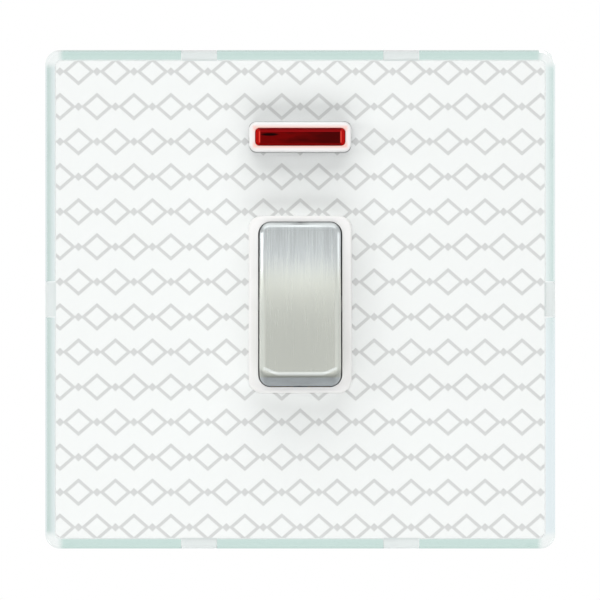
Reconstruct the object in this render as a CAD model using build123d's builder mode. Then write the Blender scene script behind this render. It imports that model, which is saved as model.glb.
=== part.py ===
from build123d import *
import os
from math import asin, cos, radians, sin, sqrt

# Double pole wall switch: a clear clip-on plate over a paper insert, a steel rocker, a neon window
# and a two-pole switch body behind a steel mounting frame.
# Millimetres. X runs to the right as seen from the front, Z runs up, and the wall is the plane Y = 0.
# Heights are measured from the wall towards the room, so a height h lies at Y = -h.

os.makedirs("parts", exist_ok=True)

# Clear plate
plate_width = 88.0
plate_height = 86.0
plate_corner = 2.5
face_thickness = 3.2
rim_thickness = 1.5
rim_wall_gap = 0.2
plate_edge_chamfer = 0.35
opening_gap = 0.15

# Snap tabs that hold the clear plate
tab_width = 6.0
tab_pitch = 35.0
tab_depth = 2.5
tab_gap = 0.1
tab_root = 0.3

# Paper insert
paper_thickness = 0.2
paper_air_gap = 0.05
paper_edge_gap = 0.2
paper_opening_gap = 0.05

# Backing plate
backing_thickness = 1.5
backing_edge_gap = 0.2
driver_hole_diameter = 8.4
peg_diameter = 2.8
peg_pitch_x = 62.0
peg_pitch_z = 59.0
peg_gap = 0.1

# Steel mounting frame
frame_gauge = 1.0
frame_edge_gap = 0.8
frame_border = 6.0
frame_corner = 2.0
fixing_pitch = 60.3
fixing_slot_width = 4.0
fixing_slot_length = 7.0

# Rocker
rocker_z = -0.85
rocker_width = 14.0
rocker_swing = 14.53
rocker_face_height = 6.3
rocker_dish = 0.7
rocker_tilt = 7.0
rocker_corner = 1.9
rocker_edge = 0.9
edge_tolerance = 0.05
rocker_side_gap = 0.25
rocker_swing_gap = 0.15
pivot_below_surround = 3.5
cap_gauge = 0.5
cap_skirt = 1.6
cap_fit = 0.05
core_foot = 1.6
core_wall = 1.2
core_face = 1.4
trunnion_diameter = 3.0
trunnion_length = 1.1
trunnion_fit = 0.05

# White surround of the rocker and frame of the neon window
surround_proud = 1.0
surround_side_wall = 1.65
surround_end_wall = 0.58
surround_corner = 2.3
surround_round = 0.5
well_corner = 2.15
neon_z = 28.0
neon_proud = 1.2
neon_rim = 1.0
neon_corner = 1.3
neon_round = 0.4

# Neon lens, lamp and resistor
lens_width = 15.5
lens_height = 3.0
lens_corner = 0.7
lens_round = 0.35
lens_proud = 0.2
lens_gap = 0.05
lens_wall = 0.75
lens_face = 1.5
lens_flange = 0.8
lamp_diameter = 4.4
lamp_length = 12.0
lamp_wall = 0.5
lamp_neck_diameter = 3.4
lamp_neck_length = 2.0
lamp_seat_gap = 0.05
lamp_behind_lens = 0.4
cradle_thickness = 1.2
cradle_pitch = 9.0
electrode_pitch = 1.6
electrode_depth = 7.0
lead_diameter = 0.6
lead_bend = 0.8
lead_fit = 0.02
lead_run = 2.0
resistor_diameter = 2.2
resistor_length = 6.5
resistor_chamfer = 0.4
resistor_drop = 4.3

# Switch body
housing_corner = 2.5
housing_wall = 1.6
front_wall = 2.0
rear_wall = 2.1
split_above_axis = 1.0
pillar_diameter = 5.2
pillar_sink = 0.4
upper_pillar_z = 16.0
lower_pillar_z = -10.5
boss_diameter = 5.2
boss_depth = 5.5
boss_floor = 1.0
flange_margin = 3.5
flange_corner = 3.0
barrier_thickness = 1.2
barrier_above_axis = 4.5
barrier_gap = 0.6
rib_thickness = 1.2
rib_gap = 0.1
entry_gap = 0.5
entry_chamfer = 0.6
access_gap = 0.6

# Screws
module_screw_pitch_x = 33.0
module_screw_pitch_z = 39.5
module_screw_diameter = 2.9
module_screw_length = 5.5
module_head_diameter = 5.4
module_head_height = 1.3
head_hole_gap = 0.4
housing_screw_diameter = 2.4
housing_screw_grip = 5.0
housing_head_diameter = 4.4
housing_head_height = 1.5
screw_fit = 0.05
screw_slot_width = 0.8
screw_slot_depth = 0.6

# Spring plungers
pole_pitch = 6.6
barrel_diameter = 4.4
barrel_length = 7.0
plunger_diameter = 2.9
plunger_fit = 0.05
plunger_back = 3.5
plunger_nose = 2.4
plunger_taper = 1.3
plunger_gap = 0.05
spring_seat = 2.5
spring_coil_diameter = 2.1
spring_wire = 0.4
spring_wire_sides = 6
spring_turns = 5
spring_end_gap = 0.05

# Rocking contacts
axis_below_pivot = 13.5
contact_above_axis = 1.95
contact_width = 4.0
contact_gauge = 1.0
contact_reach = 9.5
contact_tilt = 11.2
contact_boss = 4.0
contact_rest_gap = 0.09
ridge_diameter = 1.4
ridge_fit = 0.06
tip_place = 8.5
tip_diameter = 3.0
tip_height = 0.6
fixed_tip_height = 0.6

# Terminals
strip_gauge = 1.0
block_depth = 9.0
block_width = 9.0
block_length = 8.5
block_offset = 8.0
block_wall_gap = 1.15
load_z = 27.0
supply_z = -21.0
wire_diameter = 4.4
wire_axis_above_back = 5.0
clamp_diameter = 3.5
clamp_fit = 0.05
clamp_tip_gap = 0.1
clamp_head_diameter = 4.6
clamp_head_height = 1.7
clamp_head_gap = 0.1

# Earth terminal on the frame
earth_body_shift = 1.85
earth_foot_inset = 10.7
earth_width = 7.0
earth_length = 8.0
earth_depth = 8.0
earth_wire_diameter = 4.0
earth_wire_depth = 3.4
earth_spigot_diameter = 2.8
earth_spigot_fit = 0.05

# Heights that follow from the sizes above
web_back = frame_gauge
web_front = web_back + frame_gauge
backing_front = web_front + backing_thickness
paper_back = backing_front + paper_air_gap
paper_front = paper_back + paper_thickness
face_back = paper_front + paper_air_gap
plate_front = face_back + face_thickness
surround_front = plate_front + surround_proud
neon_front = plate_front + neon_proud
lens_front = neon_front + lens_proud
pivot_height = surround_front - pivot_below_surround
axis_height = pivot_height - axis_below_pivot
housing_front = web_back
housing_inside = housing_front - front_wall
housing_split = axis_height + split_above_axis
barrier_top = axis_height + barrier_above_axis

# Travel of the rocking contacts: off, the lower end rests on the supply strip; on, the tips meet
tilt_sin = sin(radians(contact_tilt))
tilt_cos = cos(radians(contact_tilt))
contact_back_rise = contact_above_axis - contact_gauge
strip_rest = contact_reach * tilt_sin - contact_back_rise * tilt_cos
supply_front = axis_height - strip_rest - contact_rest_gap
tip_radius = tip_diameter / 2
dome_radius = (tip_radius ** 2 + tip_height ** 2) / (2 * tip_height)
dome_rise = contact_back_rise - tip_height + dome_radius
dome_back = axis_height + dome_rise * tilt_cos - tip_place * tilt_sin - dome_radius
fixed_tip_front = dome_back - contact_rest_gap
load_front = fixed_tip_front - fixed_tip_height
block_back = supply_front - block_depth
wire_height = block_back + wire_axis_above_back
housing_back = block_back - rear_wall

# Outlines that follow from the sizes above
pocket_width = plate_width - 2 * rim_thickness
pocket_height = plate_height - 2 * rim_thickness
pocket_corner = plate_corner - rim_thickness
paper_width = pocket_width - 2 * paper_edge_gap
paper_height = pocket_height - 2 * paper_edge_gap
backing_width = pocket_width - 2 * backing_edge_gap
backing_height = pocket_height - 2 * backing_edge_gap
frame_width = pocket_width - 2 * frame_edge_gap
frame_height = pocket_height - 2 * frame_edge_gap
web_width = frame_width - 2 * frame_border
web_height = frame_height - 2 * frame_border
earth_z = earth_foot_inset - web_height / 2
well_width = rocker_width + 2 * rocker_side_gap
well_swing = rocker_swing + rocker_swing_gap
surround_width = well_width + 2 * surround_side_wall
surround_height = 2 * (well_swing + surround_end_wall)
window_width = lens_width + 2 * lens_gap
window_height = lens_height + 2 * lens_gap
neon_width = window_width + 2 * neon_rim
neon_height = window_height + 2 * neon_rim
lens_flange_width = lens_width + 2 * neon_rim
lens_flange_height = lens_height + 2 * neon_rim
tray_half = block_offset + block_width / 2 + rib_gap
housing_width = 2 * (tray_half + housing_wall)
housing_top = load_z + block_length / 2 + block_wall_gap + housing_wall
housing_bottom = supply_z - block_length / 2 - block_wall_gap - housing_wall
housing_height = housing_top - housing_bottom
housing_z = (housing_top + housing_bottom) / 2
tray_corner = housing_corner - housing_wall
flange_width = module_screw_pitch_x + 2 * flange_margin
flange_height = module_screw_pitch_z + 2 * flange_margin
earth_x = (flange_width + web_width) / 4 - earth_body_shift
tray_top = housing_top - housing_wall
tray_bottom = housing_bottom + housing_wall
pillar_x = tray_half + pillar_sink - pillar_diameter / 2
lamp_height = housing_inside - lens_flange - lamp_behind_lens - lamp_diameter / 2
plunger_reach = axis_below_pivot - contact_above_axis - plunger_gap


def tilted_planes(height, tilt):
    """Side and front planes of a part tilted in degrees about an axis along X, top towards the wall."""
    axis = (0, -height, rocker_z)
    up = (0, sin(radians(tilt)), cos(radians(tilt)))
    out = (0, -cos(radians(tilt)), sin(radians(tilt)))
    return Plane(axis, x_dir=up, z_dir=(1, 0, 0)), Plane(axis, x_dir=(1, 0, 0), z_dir=out)


rocker_level, _ = tilted_planes(pivot_height, 0)
contact_level, _ = tilted_planes(axis_height, 0)
rocker_side, rocker_front = tilted_planes(pivot_height, rocker_tilt)
contact_side, _ = tilted_planes(axis_height, -contact_tilt)
poles = {"line": -1, "neutral": 1}


def corner_spots(pitch_x, pitch_z, centre_z):
    """Four places, as X and Z, at the corners of a rectangle."""
    return [(x * pitch_x / 2, centre_z + z * pitch_z / 2) for x in (-1, 1) for z in (-1, 1)]


module_spots = corner_spots(module_screw_pitch_x, module_screw_pitch_z, rocker_z)
pillar_middle = (upper_pillar_z + lower_pillar_z) / 2
pillar_spots = corner_spots(2 * pillar_x, upper_pillar_z - lower_pillar_z, pillar_middle)
clamp_spots = corner_spots(2 * block_offset, load_z - supply_z, (load_z + supply_z) / 2)


def front(height):
    """Plane parallel to the wall at a height, facing the room."""
    return Plane.XZ.offset(height)


def save(piece, name):
    """Labels a finished piece and writes it to its own file."""
    piece.part.label = name
    export_step(piece.part, f"parts/{name}.step")


def collar_outlines(gap):
    """Adds the outlines of the rocker surround and the neon frame to a sketch, each grown by a gap."""
    with Locations((0, rocker_z)):
        RectangleRounded(surround_width + 2 * gap, surround_height + 2 * gap, surround_corner + gap)
    with Locations((0, neon_z)):
        RectangleRounded(neon_width + 2 * gap, neon_height + 2 * gap, neon_corner + gap)


def tab_outlines(width, inner_gap, outer_gap):
    """Adds the six tab outlines to a sketch, from inside the pocket edge to short of the plate edge."""
    depth = rim_thickness + inner_gap - outer_gap
    inset = outer_gap + depth / 2
    with GridLocations(tab_pitch, plate_height - 2 * inset, 2, 2):
        Rectangle(width, depth)
    with GridLocations(plate_width - 2 * inset, 0, 2, 1):
        Rectangle(depth, width)


def swing_arc(radius, top, bottom, side):
    """Draws one curved end of the rocker about its pivot, between two heights above the pivot."""
    angles = [asin(top / radius), asin(bottom / radius)]
    angles.insert(1, sum(angles) / 2)
    ThreePointArc(*[(side * radius * cos(angle), radius * sin(angle)) for angle in angles])


def rocker_block(inset, foot, edge_round):
    """Makes the rocker's form, inset from its outer skin: dished face, curved ends and a flat foot."""
    swing = rocker_swing - inset
    half_width = rocker_width / 2 - inset
    face_half = sqrt(rocker_swing ** 2 - rocker_face_height ** 2)
    dish_radius = (face_half ** 2 + rocker_dish ** 2) / (2 * rocker_dish)
    dish_centre = rocker_face_height - rocker_dish + dish_radius
    dish = dish_radius + inset
    edge_height = (swing ** 2 - dish ** 2 + dish_centre ** 2) / (2 * dish_centre)
    edge_reach = sqrt(swing ** 2 - edge_height ** 2)
    arc_foot = max(foot, 0)
    foot_reach = sqrt(swing ** 2 - arc_foot ** 2)
    with BuildPart() as block:
        with BuildSketch(rocker_side):
            with BuildLine():
                ThreePointArc((-edge_reach, edge_height), (0, dish_centre - dish), (edge_reach, edge_height))
                swing_arc(swing, edge_height, arc_foot, 1)
                swing_arc(swing, edge_height, arc_foot, -1)
                if foot < 0:
                    Polyline((foot_reach, 0), (foot_reach, foot), (-foot_reach, foot), (-foot_reach, 0))
                else:
                    Line((foot_reach, foot), (-foot_reach, foot))
            make_face()
        extrude(amount=half_width, both=True)
        corners = block.edges().filter_by(
            lambda edge: abs(edge.center().X) > half_width - edge_tolerance
            and abs(rocker_side.to_local_coords(edge.center()).X) > swing / 2
        )
        fillet(corners, rocker_corner - inset)
        if edge_round > 0:
            face = block.faces().sort_by(lambda item: rocker_side.to_local_coords(item.center()).Y)[-1]
            fillet(face.edges(), edge_round)
    return block.part


def screw_group(spots, seat, way, diameter, length, head_diameter, head_height):
    """Makes slotted screws with heads on a seat height, towards the room (way 1) or the wall (way -1)."""
    with BuildPart() as screws:
        with BuildSketch(front(seat)):
            with Locations(*spots):
                Circle(head_diameter / 2)
        extrude(amount=way * head_height)
        with BuildSketch(front(seat)):
            with Locations(*spots):
                Circle(diameter / 2)
        extrude(amount=-way * length)
        with BuildSketch(front(seat + way * (head_height - screw_slot_depth))):
            with Locations(*spots):
                Rectangle(head_diameter + screw_slot_width, screw_slot_width)
        extrude(amount=way * screw_slot_depth, mode=Mode.SUBTRACT)
    return screws


# Clear plate, hollow behind, with notches for the tabs and openings for the surround and the neon frame
with BuildPart() as front_plate:
    with BuildSketch(front(rim_wall_gap)):
        RectangleRounded(plate_width, plate_height, plate_corner)
    extrude(amount=plate_front - rim_wall_gap)
    chamfer(front_plate.faces().sort_by(Axis.Y)[0].edges(), plate_edge_chamfer)
    with BuildSketch(front(rim_wall_gap)):
        RectangleRounded(pocket_width, pocket_height, pocket_corner)
        tab_outlines(tab_width + 2 * tab_gap, rim_thickness, -rim_thickness)
    extrude(amount=face_back - rim_wall_gap, mode=Mode.SUBTRACT)
    with BuildSketch(front(face_back)):
        collar_outlines(opening_gap)
    extrude(amount=face_thickness, mode=Mode.SUBTRACT)
save(front_plate, "front_plate")

# Paper insert behind the clear face
with BuildPart() as wallpaper_insert:
    with BuildSketch(front(paper_back)):
        RectangleRounded(paper_width, paper_height, pocket_corner)
    extrude(amount=paper_thickness)
    with BuildSketch(front(paper_back)):
        collar_outlines(paper_opening_gap)
    extrude(amount=paper_thickness, mode=Mode.SUBTRACT)
save(wallpaper_insert, "wallpaper_insert")

# White backing plate with six tabs, driver holes over the fixing slots and four pegs into the frame
with BuildPart() as backing_plate:
    with BuildSketch(front(web_front)):
        RectangleRounded(backing_width, backing_height, pocket_corner)
    extrude(amount=backing_thickness)
    with BuildSketch(front(backing_front - tab_depth)):
        tab_outlines(tab_width, backing_edge_gap + tab_root, tab_gap)
    extrude(amount=tab_depth)
    with BuildSketch(front(web_back)):
        with GridLocations(peg_pitch_x, peg_pitch_z, 2, 2):
            Circle(peg_diameter / 2)
    extrude(amount=web_front - web_back)
    with BuildSketch(front(web_front)):
        collar_outlines(opening_gap)
        with GridLocations(fixing_pitch, 0, 2, 1):
            Circle(driver_hole_diameter / 2)
        with Locations(*module_spots):
            Circle(module_head_diameter / 2 + head_hole_gap)
    extrude(amount=backing_thickness, mode=Mode.SUBTRACT)
save(backing_plate, "backing_plate")

# Pressed steel frame: a border that lies on the wall and a web that stands one sheet thickness forward
with BuildPart() as mounting_frame:
    with BuildSketch(front(0)):
        RectangleRounded(frame_width, frame_height, frame_corner)
        RectangleRounded(web_width, web_height, frame_corner, mode=Mode.SUBTRACT)
    extrude(amount=frame_gauge)
    with BuildSketch(front(web_back)):
        lap = 2 * frame_gauge
        RectangleRounded(web_width + lap, web_height + lap, frame_corner + frame_gauge)
    extrude(amount=frame_gauge)
    with BuildSketch(front(web_back)):
        collar_outlines(opening_gap)
        with GridLocations(fixing_pitch, 0, 2, 1):
            SlotOverall(fixing_slot_length, fixing_slot_width)
        with GridLocations(peg_pitch_x, peg_pitch_z, 2, 2):
            Circle(peg_diameter / 2 + peg_gap)
        with Locations(*module_spots):
            Circle(module_screw_diameter / 2 + screw_fit)
        with Locations((earth_x, earth_z)):
            Circle(earth_spigot_diameter / 2 + earth_spigot_fit)
    extrude(amount=frame_gauge, mode=Mode.SUBTRACT)
save(mounting_frame, "mounting_frame")

# Space that the rocker swings in, open behind so that the rocker goes in from the back
with BuildPart() as rocker_well:
    well_top = pivot_below_surround + surround_proud
    well_bottom = housing_inside - pivot_height
    with BuildSketch(rocker_level):
        with BuildLine():
            swing_arc(well_swing, well_top, 0, 1)
            swing_arc(well_swing, well_top, 0, -1)
            top_reach = sqrt(well_swing ** 2 - well_top ** 2)
            Line((top_reach, well_top), (-top_reach, well_top))
            Polyline((well_swing, 0), (well_swing, well_bottom), (-well_swing, well_bottom), (-well_swing, 0))
        make_face()
    extrude(amount=well_width / 2, both=True)
    well_corners = rocker_well.edges().filter_by(
        lambda edge: abs(edge.center().X) > well_width / 2 - edge_tolerance
        and abs(edge.center().Z - rocker_z) > well_swing / 2
    )
    fillet(well_corners, well_corner)

# Front half of the switch body, moulded in one with the rocker surround and the neon frame
with BuildPart() as front_housing:
    with BuildSketch(front(housing_split)):
        with Locations((0, housing_z)):
            RectangleRounded(housing_width, housing_height, housing_corner)
    extrude(amount=housing_front - housing_split)
    with BuildSketch(front(housing_split)):
        with Locations((0, housing_z)):
            RectangleRounded(2 * tray_half, tray_top - tray_bottom, tray_corner)
    extrude(amount=housing_inside - housing_split, mode=Mode.SUBTRACT)
    with BuildSketch(front(housing_inside)):
        with Locations((0, rocker_z)):
            RectangleRounded(flange_width, flange_height, flange_corner)
        with Locations((0, housing_z)):
            Rectangle(2 * tray_half, tray_top - tray_bottom, mode=Mode.SUBTRACT)
    extrude(amount=front_wall)
    with BuildSketch(front(housing_inside)):
        with Locations((0, rocker_z)):
            RectangleRounded(surround_width, surround_height, surround_corner)
    extrude(amount=surround_front - housing_inside)
    fillet(front_housing.faces().sort_by(Axis.Y)[0].edges(), surround_round)
    with BuildSketch(front(housing_inside)):
        with Locations((0, neon_z)):
            RectangleRounded(neon_width, neon_height, neon_corner)
    extrude(amount=neon_front - housing_inside)
    fillet(front_housing.faces().sort_by(Axis.Y)[0].edges(), neon_round)
    with BuildSketch(front(housing_inside)):
        with Locations(*module_spots):
            Circle(boss_diameter / 2)
    extrude(amount=-boss_depth)
    with BuildSketch(front(housing_split)):
        with Locations(*pillar_spots):
            Circle(pillar_diameter / 2)
    extrude(amount=housing_inside - housing_split)
    with BuildSketch(front(lamp_height)):
        with Locations((0, neon_z)):
            with GridLocations(cradle_pitch, 0, 2, 1):
                Rectangle(cradle_thickness, lamp_diameter + 2 * housing_wall)
    extrude(amount=housing_inside - lamp_height)
    add(rocker_well.part, mode=Mode.SUBTRACT)
    with BuildSketch(rocker_level):
        Circle(trunnion_diameter / 2 + trunnion_fit)
        slot_length = pivot_height - housing_inside
        Rectangle(trunnion_diameter + 2 * trunnion_fit, slot_length, align=(Align.CENTER, Align.MAX))
    extrude(amount=well_width / 2 + trunnion_length, both=True, mode=Mode.SUBTRACT)
    with BuildSketch(front(housing_inside)):
        with Locations((0, neon_z)):
            RectangleRounded(window_width, window_height, lens_corner + lens_gap)
    extrude(amount=neon_front - housing_inside, mode=Mode.SUBTRACT)
    with BuildSketch(front(housing_inside)):
        with Locations((0, neon_z)):
            Rectangle(lens_flange_width + 2 * lens_gap, lens_flange_height + 2 * lens_gap)
    extrude(amount=-(lens_flange + lens_gap), mode=Mode.SUBTRACT)
    with BuildSketch(Plane.YZ):
        with Locations((-lamp_height, neon_z)):
            Circle(lamp_diameter / 2 + lamp_seat_gap)
    extrude(amount=lamp_length, both=True, mode=Mode.SUBTRACT)
    with BuildSketch(front(housing_inside - boss_depth + boss_floor)):
        with Locations(*module_spots):
            Circle(module_screw_diameter / 2 + screw_fit)
    extrude(amount=boss_depth - boss_floor + front_wall, mode=Mode.SUBTRACT)
    with BuildSketch(front(housing_split)):
        with Locations(*pillar_spots):
            Circle(housing_screw_diameter / 2 + screw_fit)
    extrude(amount=housing_screw_grip + screw_fit, mode=Mode.SUBTRACT)
save(front_housing, "front_housing")

# Rear half of the switch body: a tray with a barrier between the poles and ribs under the terminals
with BuildPart() as rear_housing:
    with BuildSketch(front(housing_back)):
        with Locations((0, housing_z)):
            RectangleRounded(housing_width, housing_height, housing_corner)
    extrude(amount=housing_split - housing_back)
    with BuildSketch(front(block_back)):
        with Locations((0, housing_z)):
            RectangleRounded(2 * tray_half, tray_top - tray_bottom, tray_corner)
    extrude(amount=housing_split - block_back, mode=Mode.SUBTRACT)
    with BuildSketch(front(block_back)):
        with Locations((0, tray_bottom)):
            Rectangle(barrier_thickness, tray_top - tray_bottom, align=(Align.CENTER, Align.MIN))
    extrude(amount=housing_split - block_back)
    barrier_end = neon_z - resistor_drop - resistor_diameter / 2 - barrier_gap
    with BuildSketch(front(housing_split)):
        with Locations((0, tray_bottom + barrier_gap)):
            barrier_length = barrier_end - tray_bottom - barrier_gap
            Rectangle(barrier_thickness, barrier_length, align=(Align.CENTER, Align.MIN))
    extrude(amount=barrier_top - housing_split)
    with BuildSketch(front(block_back)):
        with Locations(*pillar_spots):
            Circle(pillar_diameter / 2)
    extrude(amount=housing_split - block_back)
    supply_rib_z = supply_z + block_length / 2 + rib_gap + rib_thickness / 2
    load_rib_z = load_z - block_length / 2 - rib_gap - rib_thickness / 2
    with BuildSketch(front(block_back)):
        with Locations((0, supply_rib_z)):
            Rectangle(2 * tray_half, rib_thickness)
        with Locations((0, rocker_z)):
            with GridLocations(pole_pitch, 0, 2, 1):
                Rectangle(contact_width, rib_thickness)
    extrude(amount=supply_front - strip_gauge - block_back)
    with BuildSketch(front(block_back)):
        with Locations((0, load_rib_z)):
            Rectangle(2 * tray_half, rib_thickness)
        with Locations((0, rocker_z + tip_place)):
            with GridLocations(pole_pitch, 0, 2, 1):
                Rectangle(contact_width, rib_thickness)
    extrude(amount=load_front - strip_gauge - block_back)
    with BuildSketch(Plane.XY.offset(housing_bottom)):
        with Locations((0, -wire_height)):
            with GridLocations(2 * block_offset, 0, 2, 1):
                Circle(wire_diameter / 2 + entry_gap)
    extrude(amount=housing_wall, mode=Mode.SUBTRACT)
    with BuildSketch(Plane.XY.offset(tray_top)):
        with Locations((0, -wire_height)):
            with GridLocations(2 * block_offset, 0, 2, 1):
                Circle(wire_diameter / 2 + entry_gap)
    extrude(amount=housing_wall, mode=Mode.SUBTRACT)
    entry_faces = [rear_housing.faces().sort_by(Axis.Z)[0], rear_housing.faces().sort_by(Axis.Z)[-1]]
    chamfer([edge for face in entry_faces for edge in face.edges().filter_by(GeomType.CIRCLE)], entry_chamfer)
    with BuildSketch(front(housing_back)):
        with Locations(*clamp_spots):
            Circle(clamp_head_diameter / 2 + access_gap)
    extrude(amount=rear_wall, mode=Mode.SUBTRACT)
    with BuildSketch(front(housing_back)):
        with Locations(*pillar_spots):
            Circle(housing_screw_diameter / 2 + screw_fit)
    extrude(amount=housing_split - housing_back, mode=Mode.SUBTRACT)
    with BuildSketch(front(housing_back)):
        with Locations(*pillar_spots):
            Circle(housing_head_diameter / 2 + screw_fit)
    extrude(amount=housing_head_height, mode=Mode.SUBTRACT)
save(rear_housing, "rear_housing")

# Four screws that hold the switch body to the frame
module_screws = screw_group(
    module_spots,
    web_front,
    1,
    module_screw_diameter,
    module_screw_length,
    module_head_diameter,
    module_head_height,
)
save(module_screws, "module_screws")

# Four screws that hold the two halves of the switch body together
housing_screws = screw_group(
    pillar_spots,
    housing_back + housing_head_height,
    -1,
    housing_screw_diameter,
    housing_split + housing_screw_grip - housing_back - housing_head_height,
    housing_head_diameter,
    housing_head_height,
)
save(housing_screws, "housing_screws")

# Satin steel cap pressed over the rocker
cap_skin = rocker_block(0, cap_skirt, rocker_edge)
cap_hollow = rocker_block(cap_gauge, cap_skirt, 0)
with BuildPart() as rocker_cap:
    add(cap_skin)
    add(cap_hollow, mode=Mode.SUBTRACT)
save(rocker_cap, "rocker_cap")

# Moulded rocker under the cap, hollow behind, with two trunnions and a spring barrel for each pole
core_inset = cap_gauge + cap_fit
core_form = rocker_block(core_inset, -core_foot, 0)
with BuildPart() as rocker_core:
    add(core_form)
    pocket_top = rocker_face_height - rocker_dish - core_inset - core_face
    pocket_half = sqrt((rocker_swing - core_inset) ** 2 - pocket_top ** 2) - core_wall
    core_half = rocker_width / 2 - core_inset
    with BuildSketch(rocker_front.offset(-core_foot)):
        Rectangle(2 * (core_half - core_wall), 2 * pocket_half)
    extrude(amount=core_foot + pocket_top, mode=Mode.SUBTRACT)
    with BuildSketch(rocker_front.offset(-barrel_length)):
        with GridLocations(pole_pitch, 0, 2, 1):
            Circle(barrel_diameter / 2)
    extrude(amount=barrel_length + pocket_top)
    with BuildSketch(rocker_front.offset(-barrel_length)):
        with GridLocations(pole_pitch, 0, 2, 1):
            Circle(plunger_diameter / 2 + plunger_fit)
    extrude(amount=barrel_length + spring_seat, mode=Mode.SUBTRACT)
    for side in poles.values():
        trunnion_root = core_half - core_wall / 2
        trunnion_end = well_width / 2 + trunnion_length - trunnion_fit
        with BuildSketch(rocker_side.offset(side * trunnion_root)):
            Circle(trunnion_diameter / 2)
        extrude(amount=side * (trunnion_end - trunnion_root))
save(rocker_core, "rocker_core")

# Spring plunger and spring of each pole, inside the rocker barrels
for pole, side in poles.items():
    pole_side = rocker_side.offset(side * pole_pitch / 2)
    nose_radius = plunger_nose / 2
    nose_centre = plunger_reach - nose_radius
    with BuildPart() as plunger:
        with BuildSketch(pole_side):
            with BuildLine():
                Polyline(
                    (0, -plunger_reach),
                    (0, -plunger_back),
                    (plunger_diameter / 2, -plunger_back),
                    (plunger_diameter / 2, -nose_centre + plunger_taper),
                    (nose_radius, -nose_centre),
                )
                RadiusArc((nose_radius, -nose_centre), (0, -plunger_reach), nose_radius)
            make_face()
        revolve(axis=Axis(pole_side.origin, pole_side.y_dir))
    save(plunger, f"{pole}_plunger")
    spring_start = spring_end_gap + spring_wire / 2 - plunger_back
    spring_height = plunger_back + spring_seat - spring_wire - 2 * spring_end_gap
    spring_base = rocker_front.from_local_coords(Vector(side * pole_pitch / 2, 0, spring_start))
    with BuildPart() as spring:
        with BuildLine() as coil:
            pitch = spring_height / spring_turns
            Helix(pitch, spring_height, spring_coil_diameter / 2, spring_base, rocker_front.z_dir)
        with BuildSketch(Plane(origin=coil.edge() @ 0, z_dir=coil.edge() % 0)):
            RegularPolygon(spring_wire / 2, spring_wire_sides)
        sweep(path=coil.edge(), is_frenet=True)
    save(spring, f"{pole}_spring")

# Rocking contact of each pole, in the off position, with its silver tip
for pole, side in poles.items():
    pole_side = contact_side.offset(side * pole_pitch / 2)
    with BuildPart() as moving_contact:
        with BuildSketch(pole_side):
            with Locations((0, contact_back_rise)):
                Rectangle(2 * contact_reach, contact_gauge, align=(Align.CENTER, Align.MIN))
            Rectangle(contact_boss, contact_back_rise, align=(Align.CENTER, Align.MIN))
            Circle(ridge_diameter / 2 + ridge_fit, mode=Mode.SUBTRACT)
        extrude(amount=contact_width / 2, both=True)
    save(moving_contact, f"{pole}_moving_contact")
    with BuildPart() as moving_tip:
        with BuildSketch(pole_side):
            with BuildLine():
                Polyline(
                    (tip_place, contact_back_rise - tip_height),
                    (tip_place, contact_back_rise),
                    (tip_place + tip_radius, contact_back_rise),
                )
                RadiusArc(
                    (tip_place + tip_radius, contact_back_rise),
                    (tip_place, contact_back_rise - tip_height),
                    dome_radius,
                )
            make_face()
        revolve(axis=Axis(pole_side.from_local_coords(Vector(tip_place, 0, 0)), pole_side.y_dir))
    save(moving_tip, f"{pole}_moving_tip")

# Supply terminal of each pole: a clamp block and a strip with the ridge that the contact rocks on
for pole, side in poles.items():
    with BuildPart() as supply_terminal:
        strip_end = rocker_z + contact_boss / 2
        with BuildSketch(front(supply_front)):
            with Locations((side * pole_pitch / 2, (supply_z + strip_end) / 2)):
                Rectangle(contact_width, strip_end - supply_z)
        extrude(amount=-strip_gauge)
        with BuildSketch(front(supply_front)):
            with Locations((side * block_offset, supply_z)):
                Rectangle(block_width, block_length)
        extrude(amount=-block_depth)
        with BuildSketch(contact_level.offset(side * pole_pitch / 2)):
            Circle(ridge_diameter / 2)
            Rectangle(ridge_diameter, axis_height - supply_front, align=(Align.CENTER, Align.MAX))
        extrude(amount=contact_width / 2, both=True)
        with BuildSketch(Plane.XY.offset(supply_z - block_length / 2)):
            with Locations((side * block_offset, -wire_height)):
                Circle(wire_diameter / 2)
        extrude(amount=block_length, mode=Mode.SUBTRACT)
        with BuildSketch(front(block_back)):
            with Locations((side * block_offset, supply_z)):
                Circle(clamp_diameter / 2 + clamp_fit)
        extrude(amount=wire_axis_above_back, mode=Mode.SUBTRACT)
    save(supply_terminal, f"{pole}_supply_terminal")

# Load terminal of each pole: a clamp block and a strip under the fixed silver tip
for pole, side in poles.items():
    tip_z = rocker_z + tip_place
    with BuildPart() as load_terminal:
        strip_end = tip_z - contact_width / 2
        with BuildSketch(front(load_front)):
            with Locations((side * pole_pitch / 2, (load_z + strip_end) / 2)):
                Rectangle(contact_width, load_z - strip_end)
        extrude(amount=-strip_gauge)
        with BuildSketch(front(load_front)):
            with Locations((side * block_offset, load_z)):
                Rectangle(block_width, block_length)
        extrude(amount=block_back - load_front)
        with BuildSketch(Plane.XY.offset(load_z - block_length / 2)):
            with Locations((side * block_offset, -wire_height)):
                Circle(wire_diameter / 2)
        extrude(amount=block_length, mode=Mode.SUBTRACT)
        with BuildSketch(front(block_back)):
            with Locations((side * block_offset, load_z)):
                Circle(clamp_diameter / 2 + clamp_fit)
        extrude(amount=wire_axis_above_back, mode=Mode.SUBTRACT)
    save(load_terminal, f"{pole}_load_terminal")
    with BuildPart() as fixed_tip:
        with BuildSketch(front(load_front)):
            with Locations((side * pole_pitch / 2, tip_z)):
                Circle(tip_radius)
        extrude(amount=fixed_tip_height)
    save(fixed_tip, f"{pole}_fixed_tip")

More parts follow.
